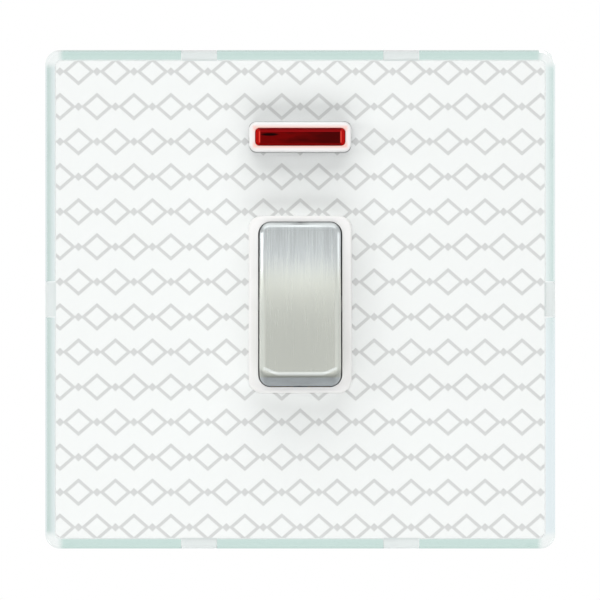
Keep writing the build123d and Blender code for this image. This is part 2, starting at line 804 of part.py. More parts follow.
# Clamp screws of the four terminals, backed out of the wire bores
clamp_seat = block_back - clamp_head_gap
clamp_length = wire_height - wire_diameter / 2 - clamp_tip_gap - clamp_seat
terminal_screws = screw_group(
    clamp_spots, clamp_seat, -1, clamp_diameter, clamp_length, clamp_head_diameter, clamp_head_height
)
save(terminal_screws, "terminal_screws")

# Earth terminal riveted to the frame, with its clamp screw
earth_back = web_back - earth_depth
earth_wire_height = web_back - earth_wire_depth
with BuildPart() as earth_terminal:
    with BuildSketch(front(earth_back)):
        with Locations((earth_x, earth_z)):
            Rectangle(earth_width, earth_length)
    extrude(amount=earth_depth)
    with BuildSketch(front(web_back)):
        with Locations((earth_x, earth_z)):
            Circle(earth_spigot_diameter / 2)
    extrude(amount=frame_gauge)
    with BuildSketch(Plane.XY.offset(earth_z - earth_length / 2)):
        with Locations((earth_x, -earth_wire_height)):
            Circle(earth_wire_diameter / 2)
    extrude(amount=earth_length, mode=Mode.SUBTRACT)
    with BuildSketch(front(earth_back)):
        with Locations((earth_x, earth_z)):
            Circle(clamp_diameter / 2 + clamp_fit)
    extrude(amount=earth_wire_height - earth_back, mode=Mode.SUBTRACT)
save(earth_terminal, "earth_terminal")
earth_seat = earth_back - clamp_head_gap
earth_clamp_length = earth_wire_height - earth_wire_diameter / 2 - clamp_tip_gap - earth_seat
earth_screw = screw_group(
    [(earth_x, earth_z)],
    earth_seat,
    -1,
    clamp_diameter,
    earth_clamp_length,
    clamp_head_diameter,
    clamp_head_height,
)
save(earth_screw, "earth_screw")

# Red lens, hollow behind, held by its flange behind the neon frame
with BuildPart() as neon_lens:
    with BuildSketch(front(housing_inside)):
        with Locations((0, neon_z)):
            RectangleRounded(lens_width, lens_height, lens_corner)
    extrude(amount=lens_front - housing_inside)
    fillet(neon_lens.faces().sort_by(Axis.Y)[0].edges(), lens_round)
    with BuildSketch(front(housing_inside)):
        with Locations((0, neon_z)):
            Rectangle(lens_flange_width, lens_flange_height)
    extrude(amount=-lens_flange)
    with BuildSketch(front(housing_inside - lens_flange)):
        with Locations((0, neon_z)):
            Rectangle(lens_width - 2 * lens_wall, lens_height - 2 * lens_wall)
    extrude(amount=lens_front - lens_face - housing_inside + lens_flange, mode=Mode.SUBTRACT)
save(neon_lens, "neon_lens")

# Glass lamp envelope, blown round at one end and pinched round its two wires at the other
lamp_plane = Plane(origin=(0, -lamp_height, neon_z), x_dir=(1, 0, 0), z_dir=(0, -1, 0))
lamp_end = lamp_length / 2
lamp_radius = lamp_diameter / 2
lamp_shoulder = lamp_end - lamp_neck_length
with BuildPart() as neon_lamp:
    with BuildSketch(lamp_plane):
        with BuildLine():
            RadiusArc((-lamp_end, 0), (lamp_radius - lamp_end, lamp_radius), lamp_radius)
            Polyline(
                (lamp_radius - lamp_end, lamp_radius),
                (lamp_shoulder, lamp_radius),
                (lamp_end, lamp_neck_diameter / 2),
                (lamp_end, 0),
                (-lamp_end, 0),
            )
        make_face()
    revolve(axis=Axis(lamp_plane.origin, lamp_plane.x_dir))
    with BuildSketch(lamp_plane):
        with BuildLine():
            bulb_radius = lamp_radius - lamp_wall
            RadiusArc((lamp_wall - lamp_end, 0), (lamp_radius - lamp_end, bulb_radius), bulb_radius)
            Polyline(
                (lamp_radius - lamp_end, bulb_radius),
                (lamp_shoulder, bulb_radius),
                (lamp_shoulder, 0),
                (lamp_wall - lamp_end, 0),
            )
        make_face()
    revolve(axis=Axis(lamp_plane.origin, lamp_plane.x_dir), mode=Mode.SUBTRACT)
    with BuildSketch(Plane.YZ.offset(lamp_shoulder)):
        with Locations((-lamp_height, neon_z)):
            with GridLocations(0, electrode_pitch, 1, 2):
                Circle(lead_diameter / 2 + lead_fit)
    extrude(amount=lamp_neck_length, mode=Mode.SUBTRACT)
save(neon_lamp, "neon_lamp")

# Resistor in one of the lamp wires, lying below the lamp
resistor_z = neon_z - resistor_drop
with BuildPart() as neon_resistor:
    with BuildSketch(Plane.YZ):
        with Locations((-lamp_height, resistor_z)):
            Circle(resistor_diameter / 2)
    extrude(amount=resistor_length / 2, both=True)
    chamfer(neon_resistor.edges(), resistor_chamfer)
save(neon_resistor, "neon_resistor")

# Lamp wires: one straight back to a load terminal, the other through the resistor to the other pole
lead_x = lamp_end + lead_run
electrode_start = lamp_end - electrode_depth
upper_wire_z = neon_z + electrode_pitch / 2
lower_wire_z = neon_z - electrode_pitch / 2
lead_routes = (
    (
        (electrode_start, -lamp_height, upper_wire_z),
        (lead_x, -lamp_height, upper_wire_z),
        (lead_x, -load_front, upper_wire_z),
    ),
    (
        (electrode_start, -lamp_height, lower_wire_z),
        (lead_x, -lamp_height, lower_wire_z),
        (lead_x, -lamp_height, resistor_z),
        (resistor_length / 2, -lamp_height, resistor_z),
    ),
    (
        (-resistor_length / 2, -lamp_height, resistor_z),
        (-lead_x, -lamp_height, resistor_z),
        (-lead_x, -load_front, resistor_z),
    ),
)
with BuildPart() as neon_leads:
    for route in lead_routes:
        with BuildLine() as wire:
            FilletPolyline(*route, radius=lead_bend)
        with BuildSketch(Plane(origin=wire.line @ 0, z_dir=wire.line % 0)):
            Circle(lead_diameter / 2)
        sweep(path=wire.line)
save(neon_leads, "neon_leads")
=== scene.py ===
"""Looks of a double pole wall switch: finishes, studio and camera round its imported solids."""

import logging
import math
from dataclasses import dataclass
from enum import Enum
from typing import Any, Mapping, Optional, Tuple, Union

import bpy
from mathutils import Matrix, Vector


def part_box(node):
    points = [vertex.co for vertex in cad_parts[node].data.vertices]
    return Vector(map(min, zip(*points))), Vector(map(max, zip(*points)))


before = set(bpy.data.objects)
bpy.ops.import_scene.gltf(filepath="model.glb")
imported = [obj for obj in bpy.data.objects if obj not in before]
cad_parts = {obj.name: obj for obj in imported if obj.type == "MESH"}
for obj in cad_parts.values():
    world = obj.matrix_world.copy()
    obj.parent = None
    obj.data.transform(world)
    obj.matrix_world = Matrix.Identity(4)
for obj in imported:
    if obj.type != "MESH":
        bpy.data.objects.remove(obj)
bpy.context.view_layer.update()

MM = 0.001
LOG = logging.getLogger("double_pole_switch")

Colour = Tuple[float, float, float]
# A span holds the value where a smooth step is 0, then the value where it is 1.
Span = Tuple[float, float]
Term = Union[float, "Wire"]

WHITE: Colour = (1.0, 1.0, 1.0)
NOISE_MIDDLE = 0.5
CELL_MIDDLE = 0.5
ACRYLIC_IOR = 1.49
PLATE_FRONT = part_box("front_plate")[0][1]
PAPER_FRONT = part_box("wallpaper_insert")[0][1]
PAPER_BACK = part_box("wallpaper_insert")[1][1]
# The part of the neon lens that shows in its frame, without the flange behind.
NEON_HALF_WIDTH = 7.75 * MM
NEON_HALF_HEIGHT = 1.5 * MM


def middle(node: str) -> Vector:
    """Middle of a solid's box."""
    low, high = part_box(node)
    return (Vector(low) + Vector(high)) / 2


def half_size(node: str) -> Vector:
    """Half of each size of a solid's box."""
    low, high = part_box(node)
    return (Vector(high) - Vector(low)) / 2


def even_cell(side: float) -> Vector:
    """A cell of noise with equal sides."""
    return Vector((side, side, side))


def dimmed(colour: Colour, share: float) -> Colour:
    """A colour with each of its parts times a share."""
    red, green, blue = colour
    return (share * red, share * green, share * blue)


class Step(Enum):
    """Math node operations that the finishes use."""

    ADD = "ADD"
    SUBTRACT = "SUBTRACT"
    MULTIPLY = "MULTIPLY"
    DIVIDE = "DIVIDE"
    ABSOLUTE = "ABSOLUTE"
    FLOOR = "FLOOR"
    FRACTION = "FRACT"
    LEAST = "MINIMUM"
    MOST = "MAXIMUM"


class Axis(Enum):
    """Directions of the part's frame, by their Separate XYZ output."""

    RIGHT = "X"
    DEPTH = "Y"
    UP = "Z"


class Pole(Enum):
    """Poles of the switch, by the start of their pieces' names."""

    LINE = "line"
    NEUTRAL = "neutral"


class Wire:
    """One value in a shader, joined to others by Python arithmetic."""

    def __init__(self, board: "Board", socket: bpy.types.NodeSocket) -> None:
        """Wraps an output socket.

        Args:
            board: Board that the socket's node stands on.
            socket: Output socket that carries the value.
        """
        self.board = board
        self.socket = socket

    def maths(self, step: Step, first: Term, second: Optional[Term] = None) -> "Wire":
        """Adds one Math node.

        Args:
            step: Operation of the node.
            first: Value or wire of its first input.
            second: Value or wire of its second input, if the operation has one.

        Returns:
            Wire of the node's result.
        """
        inputs = {0: first} if second is None else {0: first, 1: second}
        node = self.board.node("ShaderNodeMath", {"operation": step.value}, inputs)
        return Wire(self.board, node.outputs[0])

    def __add__(self, other: Term) -> "Wire":
        """This value plus another."""
        return self.maths(Step.ADD, self, other)

    def __radd__(self, other: Term) -> "Wire":
        """Another value plus this one."""
        return self.maths(Step.ADD, other, self)

    def __sub__(self, other: Term) -> "Wire":
        """This value less another."""
        return self.maths(Step.SUBTRACT, self, other)

    def __rsub__(self, other: Term) -> "Wire":
        """Another value less this one."""
        return self.maths(Step.SUBTRACT, other, self)

    def __mul__(self, other: Term) -> "Wire":
        """This value times another."""
        return self.maths(Step.MULTIPLY, self, other)

    def __rmul__(self, other: Term) -> "Wire":
        """Another value times this one."""
        return self.maths(Step.MULTIPLY, other, self)

    def __truediv__(self, other: Term) -> "Wire":
        """This value divided by another."""
        return self.maths(Step.DIVIDE, self, other)

    def __rtruediv__(self, other: Term) -> "Wire":
        """Another value divided by this one."""
        return self.maths(Step.DIVIDE, other, self)

    def __abs__(self) -> "Wire":
        """This value without its sign."""
        return self.maths(Step.ABSOLUTE, self)

    def floor(self) -> "Wire":
        """The whole number below this value."""
        return self.maths(Step.FLOOR, self)

    def fraction(self) -> "Wire":
        """What this value has above its whole number."""
        return self.maths(Step.FRACTION, self)

    def from_middle(self) -> "Wire":
        """Distance from the middle of a cell that runs from one whole number to the next."""
        return abs(self.fraction() - CELL_MIDDLE)

    def least(self, other: Term) -> "Wire":
        """The lower of this value and another."""
        return self.maths(Step.LEAST, self, other)

    def most(self, other: Term) -> "Wire":
        """The higher of this value and another."""
        return self.maths(Step.MOST, self, other)

    def rise(self, low: float, high: float) -> "Wire":
        """Maps this value smoothly from 0 to 1.

        Args:
            low: Value that gives 0.
            high: Value that gives 1, which may lie below low.

        Returns:
            Wire of the smooth step.
        """
        node = self.board.node(
            "ShaderNodeMapRange",
            {"interpolation_type": "SMOOTHSTEP"},
            {"Value": self, "From Min": low, "From Max": high},
        )
        return Wire(self.board, node.outputs["Result"])


class Board:
    """Node tree of one material or world, with one method that adds a node."""

    def __init__(self, tree: bpy.types.NodeTree) -> None:
        """Clears a node tree for use.

        Args:
            tree: Tree that the nodes are added to.
        """
        self.tree = tree
        self.tree.nodes.clear()

    def node(
        self, kind: str, settings: Mapping[str, Any], inputs: Mapping[Union[str, int], Any]
    ) -> bpy.types.Node:
        """Adds one node.

        Args:
            kind: Blender's name of the node type.
            settings: Properties of the node, which are set first.
            inputs: Values or wires of the sockets, by name, identifier or index.

        Returns:
            The new node.
        """
        made = self.tree.nodes.new(kind)
        for name, value in settings.items():
            setattr(made, name, value)
        named = {socket.identifier: socket for socket in made.inputs}
        for name, value in inputs.items():
            socket = named.get(name) or made.inputs[name]
            if isinstance(value, Wire):
                self.tree.links.new(value.socket, socket)
            elif socket.type == "RGBA":
                socket.default_value = (*value, 1.0)
            else:
                socket.default_value = value
        return made

    def wire(self, node: bpy.types.Node, output: str) -> Wire:
        """Wraps one output of a node."""
        return Wire(self, node.outputs[output])

    def place(self) -> Wire:
        """Point of the surface in the part's frame, in metres, which moves with its body."""
        return self.wire(self.node("ShaderNodeTexCoord", {}, {}), "Object")

    def along(self, vector: Wire, axis: Axis) -> Wire:
        """One component of a vector."""
        return self.wire(self.node("ShaderNodeSeparateXYZ", {}, {"Vector": vector}), axis.value)

    def blend(self, share: Term, first: Union[Colour, Wire], second: Union[Colour, Wire]) -> Wire:
        """Mixes two colours.

        Args:
            share: Share of the second colour, from 0 to 1.
            first: Colour at share 0.
            second: Colour at share 1.

        Returns:
            Wire of the mixed colour.
        """
        inputs = {"Factor_Float": share, "A_Color": first, "B_Color": second}
        mixed = self.node("ShaderNodeMix", {"data_type": "RGBA"}, inputs)
        return Wire(self, next(out for out in mixed.outputs if out.identifier == "Result_Color"))

    def grain(self, cell: Vector, detail: float = 2.0) -> Wire:
        """Noise in cells of a given size.

        Args:
            cell: Size of a cell along X, Y and Z, in metres.
            detail: Octaves of finer noise.

        Returns:
            Wire of the noise, from 0 to 1 round NOISE_MIDDLE.
        """
        scaled = self.node(
            "ShaderNodeVectorMath",
            {"operation": "DIVIDE"},
            {0: self.place(), 1: cell},
        )
        noise = self.node(
            "ShaderNodeTexNoise",
            {},
            {"Vector": self.wire(scaled, "Vector"), "Scale": 1.0, "Detail": detail},
        )
        return self.wire(noise, "Fac")

    def bump(self, height: Wire, depth: float, strength: float) -> Wire:
        """Normal of a surface with a fine relief.

        Args:
            height: Relief from 0 to 1.
            depth: Real depth of the relief in metres.
            strength: Share of the effect.

        Returns:
            Wire of the bent normal.
        """
        inputs = {"Height": height, "Distance": depth, "Strength": strength}
        return self.wire(self.node("ShaderNodeBump", {}, inputs), "Normal")

    def principled(self, **sockets: Any) -> Wire:
        """Adds the main shader.

        Args:
            **sockets: Values and wires by socket name, with underscores for spaces.

        Returns:
            Wire of the shader.
        """
        inputs = {name.replace("_", " "): value for name, value in sockets.items()}
        return self.wire(self.node("ShaderNodeBsdfPrincipled", {}, inputs), "BSDF")

    def clear_to_light(self, glass: Wire, tint: Colour) -> Wire:
        """Lets lamps and bounced light pass straight through a glassy shader.

        Args:
            glass: Shader that the camera and mirrors meet.
            tint: Colour that the passing light takes.

        Returns:
            Wire of the mixed shader.
        """
        path = self.node("ShaderNodeLightPath", {}, {})
        open_way = self.wire(self.node("ShaderNodeBsdfTransparent", {}, {"Color": tint}), "BSDF")
        surface = glass
        for ray in ("Is Diffuse Ray", "Is Shadow Ray"):
            surface = self.mix_shaders(self.wire(path, ray), surface, open_way)
        return surface

    def mix_shaders(self, share: Wire, first: Wire, second: Wire) -> Wire:
        """Mixes two shaders, the second by the given share."""
        return self.wire(self.node("ShaderNodeMixShader", {}, {0: share, 1: first, 2: second}), "Shader")

    def show(self, surface: Wire, output: str = "ShaderNodeOutputMaterial") -> None:
        """Joins a shader to the tree's output."""
        self.node(output, {}, {"Surface": surface})


@dataclass(frozen=True)
class Finish:
    """A named finish that makes its own material."""

    name: str

    def material(self) -> bpy.types.Material:
        """Makes the material, or finds it if it is made already.

        Returns:
            The material.
        """
        found = bpy.data.materials.get(f"{self.name}_finish")
        if found is not None:
            return found
        made = bpy.data.materials.new(f"{self.name}_finish")
        made.use_nodes = True
        board = Board(made.node_tree)
        board.show(self.shade(board))
        return made

    def shade(self, board: Board) -> Wire:
        """Builds the finish's shader.

        Args:
            board: Board to add nodes to.

        Returns:
            Wire of the shader.
        """
        raise NotImplementedError


@dataclass(frozen=True)
class ClearAcrylic(Finish):
    """Clear plastic whose deep edges look green, with painted light in the green."""

    half_width: float = half_size("front_plate").x
    half_height: float = half_size("front_plate").z
    rim_front: float = PAPER_FRONT
    rim_width: float = 1.5 * MM
    rim_blend: float = 0.1 * MM
    lip_height: float = 0.3 * MM
    low_span: Span = (5.0 * MM, -15.0 * MM)
    face: Colour = (0.985, 0.995, 0.992)
    lip: Colour = (0.82, 0.75, 0.76)
    edge: Colour = (0.33, 0.535, 0.48)
    left_outer: Colour = (0.30, 0.456, 0.414)
    left_inner: Colour = (0.55, 0.673, 0.684)
    right_outer: Colour = (0.38, 0.56, 0.525)
    right_inner: Colour = (0.636, 0.766, 0.757)
    painted_low_right_light: Colour = (0.60, 0.73, 0.775)
    painted_corner_highlight: Colour = (0.80, 0.86, 0.85)
    roughness: float = 0.02
    ior: float = ACRYLIC_IOR

    def rim(self, board: Board, right: Wire, up: Wire) -> Wire:
        """Builds the rim's colour: green strips with painted light, paler at the sides, paler on the right
        than on the left and paler still low on the right, with a painted highlight at the corners.

        Args:
            board: Board to add nodes to.
            right: Place to the right of the plate's middle.
            up: Place above the plate's middle.

        Returns:
            Wire of the colour.
        """
        from_side = self.half_width - abs(right)
        from_end = self.half_height - abs(up)
        # Painted light: the side strips grow paler inwards and the right one is paler than the left; the
        # corners carry a painted highlight.
        inward = from_side.rise(0.0, self.rim_width)
        left_strip = board.blend(inward, self.left_outer, self.left_inner)
        right_strip = board.blend(inward, self.right_outer, self.right_inner)
        right_strip = board.blend(up.rise(*self.low_span), right_strip, self.painted_low_right_light)
        sides = board.blend(right.rise(-self.rim_width, self.rim_width), left_strip, right_strip)
        strip = board.blend((from_end - from_side).rise(0.0, self.rim_width), self.edge, sides)
        near_corner = from_side.most(from_end).rise(2 * self.rim_width, self.rim_width)
        return board.blend(near_corner, strip, self.painted_corner_highlight)

    def shade(self, board: Board) -> Wire:
        """Builds a clear face with a lip at its top, and a green rim behind it.

        Args:
            board: Board to add nodes to.

        Returns:
            Wire of the shader.
        """
        place = board.place()
        right = board.along(place, Axis.RIGHT)
        up = board.along(place, Axis.UP)
        top_lip = up.rise(self.half_height - self.lip_height, self.half_height - self.lip_height / 2)
        front = board.blend(top_lip, self.face, self.lip)
        deep = board.along(place, Axis.DEPTH).rise(self.rim_front, self.rim_front + self.rim_blend)
        glass = board.principled(
            Base_Color=board.blend(deep, front, self.rim(board, right, up)),
            Roughness=self.roughness,
            IOR=self.ior,
            Transmission_Weight=1.0,
        )
        return board.clear_to_light(glass, WHITE)


@dataclass(frozen=True)
class PrintedPaper(Finish):
    """White paper with rows of pale grey lozenges, staggered from row to row."""

    ground: Colour = (0.925, 0.94, 0.932)
    ink: Colour = (0.66, 0.667, 0.662)
    row_pitch: float = 6.07 * MM
    row_shift: float = 0.5
    cell_width: float = 6.4 * MM
    lozenge_width: float = 4.7 * MM
    lozenge_height: float = 4.1 * MM
    stroke: float = 0.55 * MM
    spot: float = 0.75 * MM
    edge_soft: float = 0.06 * MM
    front: float = PAPER_FRONT
    back: float = PAPER_BACK
    fibre: float = 0.35 * MM
    fibre_detail: float = 4.0
    fibre_span: Span = (0.3, 0.7)
    fibre_shade: float = 0.985
    relief: float = 0.01 * MM
    relief_share: float = 0.4
    roughness: float = 0.85
    gloss: float = 0.2

    def printed(self, board: Board) -> Wire:
        """Builds the share of ink: outlined lozenges with a small spot between each two.

        Args:
            board: Board to add nodes to.

        Returns:
            Wire of the share, which is 0 on the paper's back.
        """
        place = board.place()
        rows = board.along(place, Axis.UP) / self.row_pitch
        stagger = (rows.floor() * self.row_shift).fraction()
        columns = board.along(place, Axis.RIGHT) / self.cell_width + stagger
        up = rows.from_middle() * self.row_pitch
        across = (columns + CELL_MIDDLE).from_middle() * self.cell_width
        lozenge = self.lozenge_distance(across, up, self.lozenge_width / 2, self.lozenge_height / 2)
        outline = abs(lozenge) - self.stroke / 2
        between = columns.from_middle() * self.cell_width
        spot = self.lozenge_distance(between, up, self.spot, self.spot)
        front_side = board.along(place, Axis.DEPTH).rise(self.back, self.front)
        return outline.least(spot).rise(self.edge_soft, -self.edge_soft) * front_side

    def shade(self, board: Board) -> Wire:
        """Builds matt paper with a fine fibre under its print.

        Args:
            board: Board to add nodes to.

        Returns:
            Wire of the shader.
        """
        fibre = board.grain(even_cell(self.fibre), self.fibre_detail)
        darker = dimmed(self.ground, self.fibre_shade)
        bare = board.blend(fibre.rise(*self.fibre_span), self.ground, darker)
        return board.principled(
            Base_Color=board.blend(self.printed(board), bare, self.ink),
            Roughness=self.roughness,
            Specular_IOR_Level=self.gloss,
            Normal=board.bump(fibre, self.relief, self.relief_share),
        )

    @staticmethod
    def lozenge_distance(across: Wire, up: Wire, half_width: float, half_height: float) -> Wire:
        """Distance from the edge of a lozenge, below 0 inside it.

        Args:
            across: Distance from its middle, sideways.
            up: Distance from its middle, upwards.
            half_width: Half of its width.
            half_height: Half of its height.

        Returns:
            Wire of the distance in metres.
        """
        slope = half_width * half_height / math.hypot(half_width, half_height)
        return (across / half_width + up / half_height - 1.0) * slope


@dataclass(frozen=True)
class Moulding(Finish):
    """Moulded plastic with a fine satin skin."""

    colour: Colour = (0.895, 0.89, 0.88)
    cloud: float = 6.0 * MM
    cloud_span: Span = (0.35, 0.65)
    cloud_shade: float = 0.97
    skin: float = 0.25 * MM
    skin_detail: float = 3.0
    relief: float = 0.004 * MM
    relief_share: float = 0.5
    roughness: float = 0.38
    gloss_play: float = 0.12
    ior: float = 1.5

    def paint(self, board: Board) -> Wire:
        """Builds an even colour with a little cloudiness.

        Args:
            board: Board to add nodes to.

        Returns:
            Wire of the colour.
        """
        cloud = board.grain(even_cell(self.cloud))
        darker = dimmed(self.colour, self.cloud_shade)
        return board.blend(cloud.rise(*self.cloud_span), self.colour, darker)

    def shade(self, board: Board) -> Wire:
        """Builds painted plastic with a fine skin.

        Args:
            board: Board to add nodes to.

        Returns:
            Wire of the shader.
        """
        skin = board.grain(even_cell(self.skin), self.skin_detail)
        return board.principled(
            Base_Color=self.paint(board),
            Roughness=self.roughness + (skin - NOISE_MIDDLE) * self.gloss_play,
            IOR=self.ior,
            Normal=board.bump(skin, self.relief, self.relief_share),
        )


@dataclass(frozen=True)
class CollarMoulding(Moulding):
    """White moulding with painted light round the neon window: a painted glow, a painted red reflection of
    the lens, and painted shade on the frame's walls below the plate's face.
    """

    lens: Vector = middle("neon_lens")
    rim_span: Span = (1.575 * MM, 1.26 * MM)
    lens_reflection_reach: float = 0.735 * MM
    lens_reflection_height: float = 1.0 * MM
    side_lens_reflection: float = 0.35
    wall_shade_depth: float = 0.5 * MM
    painted_glow_white: Colour = (0.905, 0.90, 0.895)
    painted_lens_reflection: Colour = (0.95, 0.61, 0.54)
    painted_wall_shade: Colour = (0.22, 0.225, 0.23)

    def paint(self, board: Board) -> Wire:
        """Builds a white with painted light: brighter towards the lens as a painted glow, pinker towards
        it as a painted reflection of the red lens, and dark as painted shade below the plate's face.

        Args:
            board: Board to add nodes to.

        Returns:
            Wire of the colour.
        """
        place = board.place()
        across = abs(board.along(place, Axis.RIGHT) - self.lens.x) - NEON_HALF_WIDTH
        up = abs(board.along(place, Axis.UP) - self.lens.z) - NEON_HALF_HEIGHT
        from_lens = across.most(up)
        # Painted shade: the frame's walls below the plate's face are darkened, in place of the light that
        # the plate's opening keeps from them.
        painted_wall_shade = board.along(place, Axis.DEPTH).rise(PLATE_FRONT, PLATE_FRONT + self.wall_shade_depth)
        # Painted glow: the white is brighter on the rim round the lens.
        rim = from_lens.rise(*self.rim_span)
        white = board.blend(rim, super().paint(board), self.painted_glow_white)
        # Painted reflection: the lens's red is painted onto the white beside it, strongest above and below
        # the window.
        above = self.side_lens_reflection + (1 - self.side_lens_reflection) * up.rise(-self.lens_reflection_height, 0.0)
        painted_lens_reflection = from_lens.rise(self.lens_reflection_reach, 0.0) * above
        return board.blend(rim * painted_wall_shade, board.blend(painted_lens_reflection, white, self.painted_lens_reflection), self.painted_wall_shade)


@dataclass(frozen=True)
class BrushedSteel(Finish):
    """Satin steel with brush lines that run up and down."""

    warm: Colour = (0.472, 0.487, 0.444)
    painted_cool_reflection: Colour = (0.455, 0.485, 0.487)
    streak: Colour = (0.36, 0.38, 0.385)
    painted_end_reflection: Colour = (0.51, 0.545, 0.565)
    painted_glint: Colour = (0.67, 0.70, 0.68)
    painted_top_shade: Colour = (0.43, 0.455, 0.455)
    centre: float = middle("rocker_cap").x
    half_width: float = half_size("rocker_cap").x
    top_end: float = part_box("rocker_cap")[1][2]
    low_end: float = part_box("rocker_cap")[0][2]
    line_width: float = 0.13 * MM
    line_length: float = 5.0 * MM
    line_depth: float = 20.0 * MM
    broad_width: float = 1.1 * MM
    broad_length: float = 20.0 * MM
    fine_share: float = 0.7
    streak_span: Span = (0.62, 0.38)
    low_streaks: float = 0.08
    top_streaks: float = 0.6
    cool_reflection_span: Span = (2.0 * MM, 9.0 * MM)
    top_shade_span: Span = (1.44 * MM, 0.72 * MM)
    end_span: Span = (1.75 * MM, 1.5 * MM)
    edge_span: Span = (1.2 * MM, 0.4 * MM)
    glint_height: float = 2.25 * MM
    glint_span: Span = (0.4 * MM, 0.1 * MM)
    glint_inset: Span = (0.3 * MM, 1.2 * MM)
    corner_lift: float = 1.1 * MM
    corner_width: float = 3.5 * MM
    side_glint: float = 0.25
    side_glint_span: Span = (5.0 * MM, -2.0 * MM)
    roughness: float = 0.27
    edge_roughness: float = 0.11
    low_roughness: float = 0.36
    low_span: Span = (7.0 * MM, -3.0 * MM)
    end_roughness: float = 0.24
    top_margin: float = 0.5 * MM
    end_margin: float = 1.6 * MM
    gloss_play: float = 0.02
    brushing: float = 0.8
    relief: float = 0.003 * MM
    relief_share: float = 0.03

    def face(self, board: Board, lines: Wire, up: Wire) -> Wire:
        """Builds the face's colour: warm below and a cooler painted reflection above, with brush lines
        that are real but drawn stronger above as painted light, and painted shade along the top edge.

        Args:
            board: Board to add nodes to.
            lines: Fine brush lines, from 0 to 1.
            up: Height in the part's frame.

        Returns:
            Wire of the colour.
        """
        broad = board.grain(Vector((self.broad_width, self.line_depth, self.broad_length)))
        # Painted reflection: the face turns cooler towards the top.
        top = up.rise(*self.cool_reflection_span)
        streaks = (lines * self.fine_share + broad * (1 - self.fine_share)).rise(*self.streak_span)
        # The brush lines are real; drawing them stronger towards the top is painted light.
        dark = streaks * (self.low_streaks + top * self.top_streaks)
        face = board.blend(dark, board.blend(top, self.warm, self.painted_cool_reflection), self.streak)
        # Painted shade: the top edge is darker, to dim the lamp's highlight on it.
        return board.blend((self.top_end - up).rise(*self.top_shade_span), face, self.painted_top_shade)

    def glint_share(self, up: Wire, from_side: Wire) -> Wire:
        """Builds the share of painted glint: a painted highlight line above the lower end that curves up
        at the corners, and a faint one down the lower sides.

        Args:
            up: Height in the part's frame.
            from_side: Distance from the nearer side.

        Returns:
            Wire of the share.
        """
        # Painted highlight: the line rises towards the sides, so that it curves up at the corners.
        lift = from_side.rise(self.corner_width, 0.0) * self.corner_lift
        from_line = abs(up - self.low_end - lift - self.glint_height)
        end_line = from_line.rise(*self.glint_span) * from_side.rise(*self.glint_inset)
        # Painted highlight: a faint line down the sides, on their lower part.
        side_line = from_side.rise(*self.edge_span) * up.rise(*self.side_glint_span) * self.side_glint
        return end_line.most(side_line)

    def softness(self, up: Wire, from_side: Wire) -> Wire:
        """Builds the roughness that the edges add: more on the ends and low on the sides.

        Args:
            up: Height in the part's frame.
            from_side: Distance from the nearer side.

        Returns:
            Wire of the added roughness.
        """
        low_side = up.rise(*self.low_span) * (self.low_roughness - self.edge_roughness)
        side = from_side.rise(*self.edge_span) * (low_side + self.edge_roughness)
        inside = (self.top_end - up - self.top_margin).least(up - self.low_end - self.end_margin)
        end = inside.rise(*self.edge_span) * self.end_roughness
        return side.most(end)

    def shade(self, board: Board) -> Wire:
        """Builds brushed steel with painted glints on its edges, painted shade at its top edge and a
        painted reflection on its lower end.

        Args:
            board: Board to add nodes to.

        Returns:
            Wire of the shader.
        """
        lines = board.grain(Vector((self.line_width, self.line_depth, self.line_length)))
        place = board.place()
        up = board.along(place, Axis.UP)
        from_side = self.half_width - abs(board.along(place, Axis.RIGHT) - self.centre)
        edged = board.blend(self.glint_share(up, from_side), self.face(board, lines, up), self.painted_glint)
        # Painted reflection: the lower end face takes its own lighter, cooler tone, in place of the light
        # it would reflect.
        at_end = (up - self.low_end).rise(*self.end_span)
        satin = self.roughness + self.softness(up, from_side)
        return board.principled(
            Base_Color=board.blend(at_end, edged, self.painted_end_reflection),
            Metallic=1.0,
            Roughness=satin + (lines - NOISE_MIDDLE) * self.gloss_play,
            Anisotropic=self.brushing,
            Normal=board.bump(lines, self.relief, self.relief_share),
        )


@dataclass(frozen=True)
class PlainMetal(Finish):
    """Metal with a soft, slightly uneven shine."""

    colour: Colour = (0.70, 0.71, 0.72)
    tint: Colour = (0.62, 0.63, 0.65)
    cell: float = 1.6 * MM
    cell_detail: float = 3.0
    cell_span: Span = (0.35, 0.65)
    fine_cell: float = 0.12 * MM
    relief: float = 0.002 * MM
    relief_share: float = 0.4
    roughness: float = 0.32
    gloss_play: float = 0.25

    def shade(self, board: Board) -> Wire:
        """Builds patches of two near colours and a gloss that wanders with them.

        Args:
            board: Board to add nodes to.

        Returns:
            Wire of the shader.
        """
        patches = board.grain(even_cell(self.cell), self.cell_detail)
        fine = board.grain(even_cell(self.fine_cell))
        return board.principled(
            Base_Color=board.blend(patches.rise(*self.cell_span), self.tint, self.colour),
            Metallic=1.0,
            Roughness=self.roughness + (patches - NOISE_MIDDLE) * self.gloss_play,
            Normal=board.bump(fine, self.relief, self.relief_share),
        )


